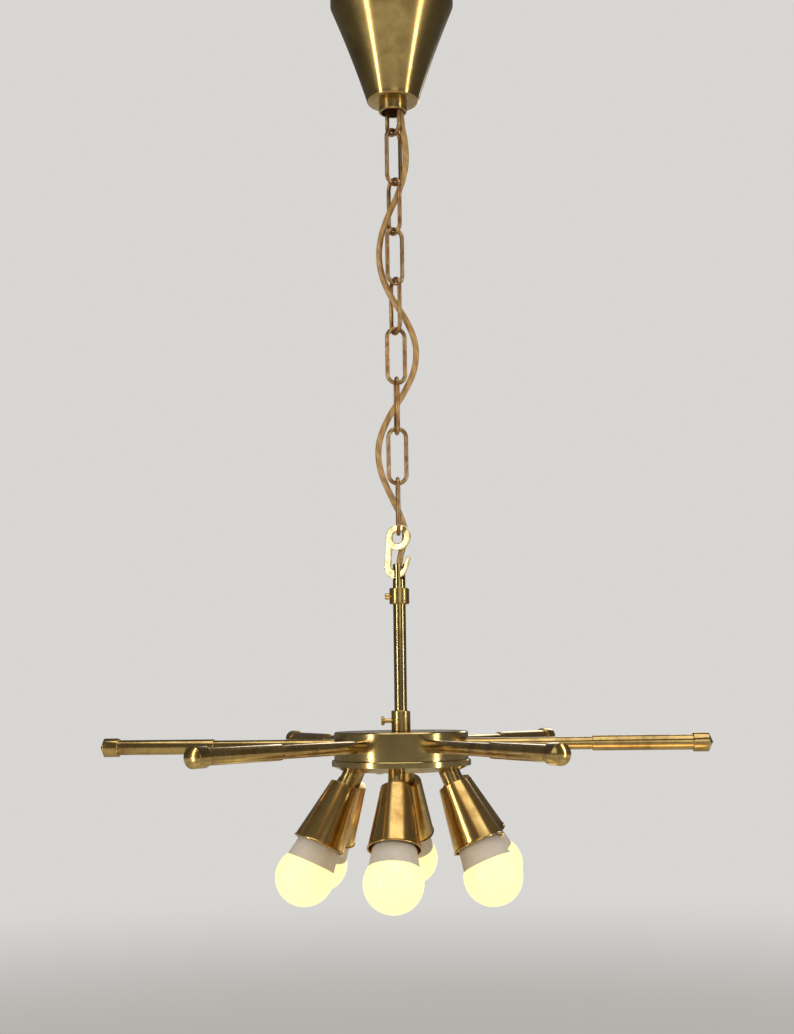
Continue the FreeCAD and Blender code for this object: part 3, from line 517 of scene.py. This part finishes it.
def grown(name, tree, values):
    """The plain mesh that a node tree makes from named values."""
    holder = bpy.data.objects.new(name, bpy.data.meshes.new(name))
    bpy.context.scene.collection.objects.link(holder)
    modifier = holder.modifiers.new(name, "NODES")
    modifier.node_group = tree
    sockets = {item.name: item.identifier for item in tree.interface.items_tree if item.in_out == "INPUT"}
    for key, value in values.items():
        modifier[sockets[key]] = value
    bpy.context.view_layer.update()
    ready = holder.evaluated_get(bpy.context.evaluated_depsgraph_get())
    mesh = bpy.data.meshes.new_from_object(ready)
    bpy.data.objects.remove(holder)
    return mesh


chain_brass = aged_brass("chain_brass", CHAIN_BRASS, CHAIN_RED, 0.3, grain=110.0, share=0.5, lines=0.0,
                         specks=0.7)
one_link = grown("bent_link", link_tree(), {"Wire": LINK_WIRE, "Width": LINK_WIDTH, "Length": LINK_LENGTH,
                                            "Butt Gap": LINK_BUTT_GAP, "Finish": chain_brass})
for number, link_turn in enumerate(LINK_TURNS, start=1):
    middle = CHAIN_TOP - (number - 0.5) * LINK_PITCH
    about_axis = Matrix.Rotation(math.radians(link_turn + CHAIN_TURN), 4, "Z")
    link_mesh = one_link.copy()
    upright = about_axis @ Matrix.Rotation(math.pi / 2, 4, "X")
    link_mesh.transform(Matrix.Translation((0, 0, middle)) @ upright)
    link_name = "link_%02d" % number
    link_body = link_name if number >= FIRST_FREE_LINK else "fixed"
    placed(link_name, smooth(link_mesh, 40), chain_brass, link_body, "chain_brass", "chain_" + link_name)


# ---- Flex ------------------------------------------------------------------------------------------------
# One round flex in clear golden plastic over two twisted cores. It leaves the supply block, drops through
# the sleeve, weaves from side to side through every second link and ends in the hub, inside the tube.
FLEX_DIAMETER = 5.0 * MM
FLEX_ROUTE = [
    (13.0, 12.0, -15.0), (13.4, 11.0, -25.0), (13.6, 8.6, -38.0), (12.6, 5.2, -53.0), (9.4, 2.4, -67.5),
    (5.6, 2.2, -80.0), (6.8, -0.2, -102.0), (9.8, -1.4, -117.2), (10.0, -1.2, -137.4), (3.6, -0.4, -157.5),
    (-6.4, 0.2, -177.7), (-12.6, 0.6, -197.8), (-12.4, 0.4, -218.0), (-5.4, 0.0, -238.1), (8.0, 0.0, -258.3),
    (16.6, 0.5, -278.4), (15.6, 0.8, -298.6), (6.0, 0.4, -318.7), (-7.6, 0.0, -338.9), (-15.6, -0.4, -359.0),
    (-14.6, -0.3, -379.2), (-6.4, 0.8, -399.3), (3.6, 3.2, -419.4), (6.0, 4.3, -433.5), (2.6, 2.9, -444.0),
    (0.3, 1.6, -453.0), (0.35, 1.65, -467.0), (0.3, 1.6, -485.0), (0.35, 1.65, -508.0), (0.3, 1.6, -532.0),
    (0.35, 1.65, -556.0), (0.3, 1.6, -580.0), (0.35, 1.65, -602.8),
]
FLEX_CUTS = [5, 7, 9, 11, 13, 15, 17, 19, 21, 23, 26]  # runs whose middles part the stretches
FLEX_SIDES = 20
FLEX_GOLD = (0.36, 0.20, 0.045)
FLEX_DEEP = (0.17, 0.085, 0.018)
FLEX_TWIST = 26.0 * MM  # length of one turn of the cores


def flex_line():
    """The flex's smooth centreline, from one spline through the whole route, as points in metres."""
    data = bpy.data.curves.new("flex_line", "CURVE")
    data.dimensions = "3D"
    data.resolution_u = 14
    spline = data.splines.new("NURBS")
    spline.points.add(len(FLEX_ROUTE) - 1)
    turn = Matrix.Rotation(math.radians(CHAIN_TURN), 3, "Z")
    for point, place in zip(spline.points, FLEX_ROUTE):
        point.co = (*(turn @ Vector(place) * MM), 1.0)
    spline.order_u = 3
    spline.use_endpoint_u = True
    holder = bpy.data.objects.new("flex_line", data)
    bpy.context.scene.collection.objects.link(holder)
    mesh = bpy.data.meshes.new_from_object(holder.evaluated_get(bpy.context.evaluated_depsgraph_get()))
    points = [vertex.co.copy() for vertex in mesh.vertices]
    bpy.data.objects.remove(holder)
    bpy.data.meshes.remove(mesh)
    return points


def flex_tube(name, line, first, last, travelled, sides_seen):
    """Round tube along part of the line, with its map's y as the length along the whole flex, in metres."""
    work = bmesh.new()
    layer = work.loops.layers.uv.new("along")
    rings = []
    for index in range(first, last + 1):
        side, up = sides_seen[index]
        ring = []
        for corner in range(FLEX_SIDES):
            angle = 2 * math.pi * corner / FLEX_SIDES
            outwards = side * math.cos(angle) + up * math.sin(angle)
            ring.append(work.verts.new(line[index] + outwards * FLEX_DIAMETER / 2))
        rings.append(ring)
    for index, (ring, following) in enumerate(zip(rings, rings[1:])):
        for corner in range(FLEX_SIDES):
            beside = (corner + 1) % FLEX_SIDES
            face = work.faces.new((ring[corner], ring[beside], following[beside], following[corner]))
            marks = ((corner, 0), (corner + 1, 0), (corner + 1, 1), (corner, 1))
            for loop, (across, onward) in zip(face.loops, marks):
                loop[layer].uv = (across / FLEX_SIDES, travelled[first + index + onward])
    for ring in (rings[0], rings[-1]):
        work.faces.new(ring)
    bmesh.ops.recalc_face_normals(work, faces=work.faces)
    mesh = bpy.data.meshes.new(name)
    work.to_mesh(mesh)
    work.free()
    return smooth(mesh, 50)


def golden_flex():
    """Clear golden sheath with the paler cores twisting inside it."""
    material, tree, shader, tones = mottled("golden_flex", FLEX_GOLD, FLEX_DEEP, 0.28, grain=140.0,
                                            share=0.36)
    shader.inputs["Coat Weight"].default_value = 0.6
    shader.inputs["Coat Roughness"].default_value = 0.12
    shader.inputs["Subsurface Weight"].default_value = 0.25
    shader.inputs["Subsurface Radius"].default_value = (0.004, 0.002, 0.0006)
    mapped = node(tree, "UVMap", uv_map="along")
    split = node(tree, "SeparateXYZ")
    turns = node(tree, "Math", operation="MULTIPLY_ADD")
    turns.inputs[1].default_value = 1.0 / FLEX_TWIST
    around = node(tree, "Math", operation="MULTIPLY")
    around.inputs[1].default_value = 4 * math.pi
    wave = node(tree, "Math", operation="SINE")
    strands = node(tree, "MapRange", interpolation_type="SMOOTHSTEP")
    strands.inputs["From Min"].default_value = -0.2
    strands.inputs["From Max"].default_value = 0.9
    strands.inputs["To Max"].default_value = 0.45
    mixed = node(tree, "MixRGB")
    mixed.inputs["Color2"].default_value = (0.52, 0.34, 0.12, 1.0)
    wire(tree, mapped.outputs["UV"], split.inputs[0])
    wire(tree, split.outputs["Y"], turns.inputs[0])
    wire(tree, split.outputs["X"], turns.inputs[2])
    wire(tree, turns.outputs[0], around.inputs[0])
    wire(tree, around.outputs[0], wave.inputs[0])
    wire(tree, wave.outputs[0], strands.inputs["Value"])
    wire(tree, strands.outputs[0], mixed.inputs["Fac"])
    wire(tree, tones.outputs["Color"], mixed.inputs["Color1"])
    wire(tree, mixed.outputs["Color"], shader.inputs["Base Color"])
    return material


def carried_frames(line):
    """Two directions across the line at each point, carried along without twist."""
    sides_seen = []
    side = Vector((1, 0, 0))
    for index in range(len(line)):
        ahead = (line[min(index + 1, len(line) - 1)] - line[max(index - 1, 0)]).normalized()
        side = (side - ahead * side.dot(ahead)).normalized()
        sides_seen.append((side.copy(), ahead.cross(side)))
    return sides_seen


def nearest_index(line, target):
    """Which point of the line is nearest to the target."""
    return min(range(len(line)), key=lambda index: (line[index] - target).length)


flex_points = flex_line()
flex_frames = carried_frames(flex_points)
flex_travel = [0.0]
for before, after in zip(flex_points, flex_points[1:]):
    flex_travel.append(flex_travel[-1] + (after - before).length)
flex_gold = golden_flex()
chain_to_lamp = Matrix.Rotation(math.radians(CHAIN_TURN), 3, "Z")
flex_marks = [0]
for run in FLEX_CUTS:
    halfway = (Vector(FLEX_ROUTE[run]) + Vector(FLEX_ROUTE[run + 1])) / 2 * MM
    flex_marks.append(nearest_index(flex_points, chain_to_lamp @ halfway))
flex_marks.append(len(flex_points) - 1)
for number, (first, last) in enumerate(zip(flex_marks, flex_marks[1:])):
    hidden = {0: "canopy", len(flex_marks) - 2: "tube"}.get(number)
    stretch_name = "flex_%s" % (hidden or "%02d" % number)
    stretch_mesh = flex_tube(stretch_name, flex_points, first, last, flex_travel, flex_frames)
    if hidden:
        hidden_body = "fixed" if number == 0 else "tube"
        placed("flex_in_" + hidden, stretch_mesh, flex_gold, hidden_body, "flex", stretch_name)
        continue
    stretch_mesh.materials.append(flex_gold)
    stretch = bpy.data.objects.new("flex_stretch_%02d" % number, stretch_mesh)
    bpy.context.scene.collection.objects.link(stretch)
    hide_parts(stretch_name)
    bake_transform(stretch)


# ---- Hook ------------------------------------------------------------------------------------------------
# A flat cast brass hook, pale where it has been handled: an eye on the last link, a shank down one side and
# a bend that carries the tube. The casting's edges are soft.
CAST_VOXEL = 0.28 * MM
CAST_PALE = (0.88, 0.78, 0.46)
CAST_DARK = (0.46, 0.34, 0.14)


def cast_copy(cad_node, name):
    """The CAD piece remeshed and smoothed, so that its edges are round like a casting's."""
    mesh = whole_copy(cad_node, name)
    holder = bpy.data.objects.new(name + "_work", mesh)
    bpy.context.scene.collection.objects.link(holder)
    remesh = holder.modifiers.new("voxels", "REMESH")
    remesh.mode = "VOXEL"
    remesh.voxel_size = CAST_VOXEL
    rounding = holder.modifiers.new("rounding", "LAPLACIANSMOOTH")
    rounding.iterations = 6
    rounding.lambda_factor = 0.6
    bpy.context.view_layer.update()
    cast = bpy.data.meshes.new_from_object(holder.evaluated_get(bpy.context.evaluated_depsgraph_get()))
    bpy.data.objects.remove(holder)
    return smooth(cast, 60)


cast_brass, *_ = mottled("cast_brass", CAST_PALE, CAST_DARK, 0.34, 1.0, 130.0, 0.00012, 0.4)
placed("cast_hook", cast_copy("hook", "cast_hook"), cast_brass, "hook", "cast_brass", "hook")


# ---- Tube with its nut, clamping collar and screw --------------------------------------------------------
# A thin drawn brass tube, cut across at its top for the hook's bend. The turned collar below it holds the
# cheese-head screw that grips the flex. A washer and a nut on the tube's end carry the hub.
TUBE_BRASS = (0.44, 0.34, 0.15)
TUBE_TOP = -455.5
TUBE_LENGTH = 144.7
TUBE_RADIUS = 5.0
TUBE_BORE = 4.5
TUBE_ROWS = 36
TUBE_CUT = ((20.0, 4.2, 10.0), (0.0, -2.35, -462.9))  # the cross-cut's size and middle, in the hook's turn
TUBE_CUT_TURN = CHAIN_TURN - 22.0
CLAMP_SCREW_LEVEL = -481.0
CLAMP_HOLE = 1.55
HOLE_LENGTH = 10.0


def bored(name, mesh, *cutters):
    """The mesh with the cutters' solids taken out of it."""
    holder = bpy.data.objects.new(name, mesh)
    bpy.context.scene.collection.objects.link(holder)
    tools = []
    for cutter in cutters:
        tool = bpy.data.objects.new(name + "_cutter", cutter)
        bpy.context.scene.collection.objects.link(tool)
        cut = holder.modifiers.new("cut", "BOOLEAN")
        cut.operation = "DIFFERENCE"
        cut.object = tool
        tools.append(tool)
    bpy.context.view_layer.update()
    made = bpy.data.meshes.new_from_object(holder.evaluated_get(bpy.context.evaluated_depsgraph_get()))
    for spent in [holder] + tools:
        bpy.data.objects.remove(spent)
    return smooth(made)


def block(size, middle, turn):
    """A box in millimetres, turned about the lamp's axis by degrees."""
    work = bmesh.new()
    bmesh.ops.create_cube(work, size=1.0)
    mesh = bpy.data.meshes.new("block")
    work.to_mesh(mesh)
    work.free()
    mesh.transform(Matrix.Rotation(math.radians(turn), 4, "Z") @ Matrix.Translation(Vector(middle) * MM)
                   @ Matrix.Diagonal((*(side * MM for side in size), 1.0)))
    return mesh


tube_brass = aged_brass("tube_brass", TUBE_BRASS, BRASS_TARNISH, 0.14, grain=55.0, share=0.42, lines=0.06)
tube_levels = [TUBE_TOP - TUBE_LENGTH * step / TUBE_ROWS for step in range(1, TUBE_ROWS)]
tube_outline = softened(in_metres(
    (TUBE_BORE, TUBE_TOP, 0.1), *[(TUBE_BORE, level, 0) for level in tube_levels],
    (TUBE_BORE, TUBE_TOP - TUBE_LENGTH, 0), (TUBE_RADIUS, TUBE_TOP - TUBE_LENGTH, 0.15),
    *[(TUBE_RADIUS, level, 0) for level in tube_levels[::-1]], (TUBE_RADIUS, TUBE_TOP, 0.15)))
screw_way = (Matrix.Translation((0, 0, CLAMP_SCREW_LEVEL * MM))
             @ Matrix.Rotation(math.radians(CHAIN_TURN), 4, "Z") @ Matrix.Rotation(-math.pi / 2, 4, "Y"))
hole_outline = [(radius * MM, height * MM) for radius, height in
                ((0, 0), (CLAMP_HOLE, 0), (CLAMP_HOLE, HOLE_LENGTH), (0, HOLE_LENGTH))]
uncut_tube = turned("drawn_tube", tube_outline, 64)
screw_hole = turned("screw_hole", hole_outline, 32, screw_way)
placed("drawn_tube", bored("drawn_tube", uncut_tube, block(*TUBE_CUT, TUBE_CUT_TURN), screw_hole), tube_brass,
       "tube", "tube_brass", "tube")
refinished("clamp_collar", "clamping_collar", sleeve_brass, "tube", "aged_brass")
refinished("clamp_screw", "clamping_screw", screw_brass, "clamp_screw", "screw_brass")
refinished("tube_nut", "nut_and_washer", screw_brass, "tube", "screw_brass")


# ---- Hub -------------------------------------------------------------------------------------------------
# A turned brass drum with a flat top, and a base with a bevelled lip, screwed up into it by three screws.
# The collar on the drum takes the thumb screw that fixes the hub to the tube.
hub_brass = aged_brass("hub_brass", (0.52, 0.39, 0.16), BRASS_TARNISH, 0.15, grain=60.0, share=0.4, lines=0.0)
refinished("hub_cover", "hub_drum", hub_brass, "hub", "aged_brass")
refinished("hub_base", "hub_floor", hub_brass, "hub", "hub_base_brass")
refinished("hub_collar", "drum_collar", sleeve_brass, "hub", "aged_brass")
refinished("thumb_screw", "thumb_screw_disc", screw_brass, "thumb_screw", "screw_brass")
refinished("base_screws", "floor_screws", screw_brass, "hub", "screw_brass")
finished("hub_terminal", ivory)


# ---- Arms ------------------------------------------------------------------------------------------------
# Six straight arms, each a brass tube nutted inside the drum, a wider sleeve over its outer part and a
# turned end with a shallow point.
ARM_LEVEL = -598.8
ARM_STEP = 60  # degrees from arm to arm, and from cup to cup
ARM_OUTLINES = [  # (radius, distance from the axis, rounding)
    [(4, 44, 0), (5, 44, 0.3), (5, 170, 0.3), (4, 170, 0)],
    [(5.05, 47.97, 0), (7, 47.97, 0.3), (7, 50.97, 0.3), (5.05, 50.97, 0)],
    [(5.05, 150, 0.2), (6, 150, 0.5), (6, 227.5, 0), (5.05, 227.5, 0)],
    [(0, 219.5, 0), (5, 219.5, 0.3), (5, 227.5, 0), (7.5, 227.5, 0.7), (7.5, 239.5, 0.4), (0, 243, 0)],
]


def joined(name, meshes):
    """Several meshes as one."""
    work = bmesh.new()
    for mesh in meshes:
        work.from_mesh(mesh)
    whole = bpy.data.meshes.new(name)
    work.to_mesh(whole)
    work.free()
    return smooth(whole)


arm_brass = aged_brass("arm_brass", (0.52, 0.36, 0.13), BRASS_TARNISH, 0.16, grain=60.0, share=0.42,
                       lines=0.08)
for number in range(1, 7):
    arm_turn = Matrix.Rotation(math.radians(ARM_STEP * (number - 1)), 4, "Z")
    arm_way = (Matrix.Translation((0, 0, ARM_LEVEL * MM)) @ arm_turn @ Matrix.Rotation(math.pi / 2, 4, "Y"))
    arm_parts = [turned("arm_part", softened(in_metres(*corners)), 64, arm_way) for corners in ARM_OUTLINES]
    placed("drawn_arm_%d" % number, joined("drawn_arm_%d" % number, arm_parts), arm_brass, "hub", "arm_brass",
           "arm_%d" % number)


# ---- Cups ------------------------------------------------------------------------------------------------
# Six cones spun from thin brass, each on a short neck over a threaded nipple, tilted outwards from the base.
# A black holder sits under each cup's top for the lamp's screw base.
CUP_TILT = math.radians(27.0)
CUP_PLACE = 71.0 * MM
CUP_LEVEL = -673.8 * MM
CUP_FIRST_TURN = 30
CUP_SIDES = 96
CUP_OUTLINE = [  # (radius, height over the rim, rounding), up the inside and down the outside
    (5.1, 49.2, 0), (11.09, 49.2, 0.5), (19.45, 0, 0.3), (20.75, 0, 0.4), (20.75, 0.8, 0.4),
    (19.98, 1.6, 0.5), (11.75, 50, 0.7), (5.1, 50, 0),
]


def cup_place(number):
    """Where the middle of a cup's rim stands, with local Z up the cup's axis towards the hub."""
    turn = math.radians(CUP_FIRST_TURN + ARM_STEP * (number - 1))
    rim = Matrix.Translation((CUP_PLACE * math.cos(turn), CUP_PLACE * math.sin(turn), CUP_LEVEL))
    return rim @ Matrix.Rotation(turn, 4, "Z") @ Matrix.Rotation(-CUP_TILT, 4, "Y")


cup_outline = softened(in_metres(*CUP_OUTLINE))
cup_brass = aged_brass("cup_brass", (0.60, 0.40, 0.14), (0.32, 0.18, 0.05), 0.18, grain=60.0, share=0.4,
                       lines=0.14)
black_plastic, *_ = mottled("black_plastic", (0.03, 0.027, 0.024), (0.055, 0.045, 0.035), 0.4, 0.0, 120.0)
for number in range(1, 7):
    cup_name = "spun_cup_%d" % number
    cup_mesh = turned(cup_name, cup_outline, CUP_SIDES, cup_place(number))
    placed(cup_name, cup_mesh, cup_brass, "hub", "cup_brass", "cup_%d" % number)
refinished("cup_necks", "necks", sleeve_brass, "hub", "aged_brass")
finished("cup_nipples", screw_brass)
finished("lamp_holders", black_plastic)


# ---- Lamps -----------------------------------------------------------------------------------------------
# Round lamps, lit: a warm globe under a tapered pale grey housing, and a steel screw base whose thread is
# rolled into its sheet.
GLOBE_RADIUS = 22.5
GLOBE_DROP = 26.4
GLOBE_INSIDE = 0.95  # of its outside
GLOBE_STEPS = 40
HOUSING_EDGE = -15.4
HOUSING_SEAT = 12.7
HOUSING_OUTLINE = [
    (0, HOUSING_EDGE, 0), (19.2, HOUSING_EDGE, 0.6), (16.6, 0, 3.0), (10.0, HOUSING_SEAT, 1.0),
    (0, HOUSING_SEAT, 0),
]
BASE_RADIUS = 6.7
THREAD_TOP = 31.7
THREAD_PITCH = 3.6
THREAD_MIDDLE = 6.4
THREAD_HEIGHT = 0.35
THREAD_STEPS = 60


def globe_outline():
    """Open-topped globe with its wall, from the lowest point up to the housing and back inside."""
    opening = math.acos((HOUSING_EDGE + GLOBE_DROP) / GLOBE_RADIUS)
    angles = [math.pi + (opening - math.pi) * step / GLOBE_STEPS for step in range(GLOBE_STEPS + 1)]
    outer = [(GLOBE_RADIUS * math.sin(angle), -GLOBE_DROP + GLOBE_RADIUS * math.cos(angle))
             for angle in angles]
    outer[0] = (0.0, outer[0][1])
    inner = [(radius * GLOBE_INSIDE, (height + GLOBE_DROP) * GLOBE_INSIDE - GLOBE_DROP)
             for radius, height in outer[::-1]]
    inner[0] = (inner[0][0], HOUSING_EDGE)
    return [(radius * MM, height * MM) for radius, height in outer + inner]


def thread_outline():
    """The screw base: its thread's rounded ridges, the slope at its end and the contact."""
    ridges = []
    for step in range(THREAD_STEPS + 1):
        height = HOUSING_SEAT + 1.2 + (THREAD_TOP - HOUSING_SEAT - 3.4) * step / THREAD_STEPS
        ridges.append((THREAD_MIDDLE + THREAD_HEIGHT * math.cos(2 * math.pi * height / THREAD_PITCH), height))
    corners = [(0.0, HOUSING_SEAT), (BASE_RADIUS, HOUSING_SEAT)] + ridges + [
        (6.0, THREAD_TOP - 1.6), (2.6, THREAD_TOP), (2.4, THREAD_TOP + 1.6), (1.6, THREAD_TOP + 2.0),
        (0.0, THREAD_TOP + 2.0)]
    return [(radius * MM, height * MM) for radius, height in corners]


glow, _, glow_shader, _ = mottled("lit_globe", (0.42, 0.38, 0.24), (0.38, 0.34, 0.20), 0.3, 0.0, 30.0)
glow_shader.inputs["Emission Color"].default_value = (1.0, 0.88, 0.40, 1.0)
glow_shader.inputs["Emission Strength"].default_value = 0.95
housing_grey, *_ = mottled("housing_grey", (0.56, 0.50, 0.42), (0.48, 0.42, 0.34), 0.45, 0.0, 60.0)
base_steel, *_ = mottled("base_steel", (0.62, 0.60, 0.56), (0.40, 0.38, 0.34), 0.25, 1.0, 90.0)
housing_outline = softened(in_metres(*HOUSING_OUTLINE))
for number in range(1, 7):
    lamp_body, lamp_place = "bulb_%d" % number, cup_place(number)
    globe = turned("globe_%d" % number, globe_outline(), 96, lamp_place)
    housing = turned("housing_%d" % number, housing_outline, 96, lamp_place)
    screw_base = turned("screw_base_%d" % number, thread_outline(), 48, lamp_place)
    placed("globe_%d" % number, globe, glow, lamp_body, "lamp", "bulb_%d" % number)
    placed("housing_%d" % number, housing, housing_grey, lamp_body, "lamp")
    placed("screw_base_%d" % number, screw_base, base_steel, lamp_body, "lamp")
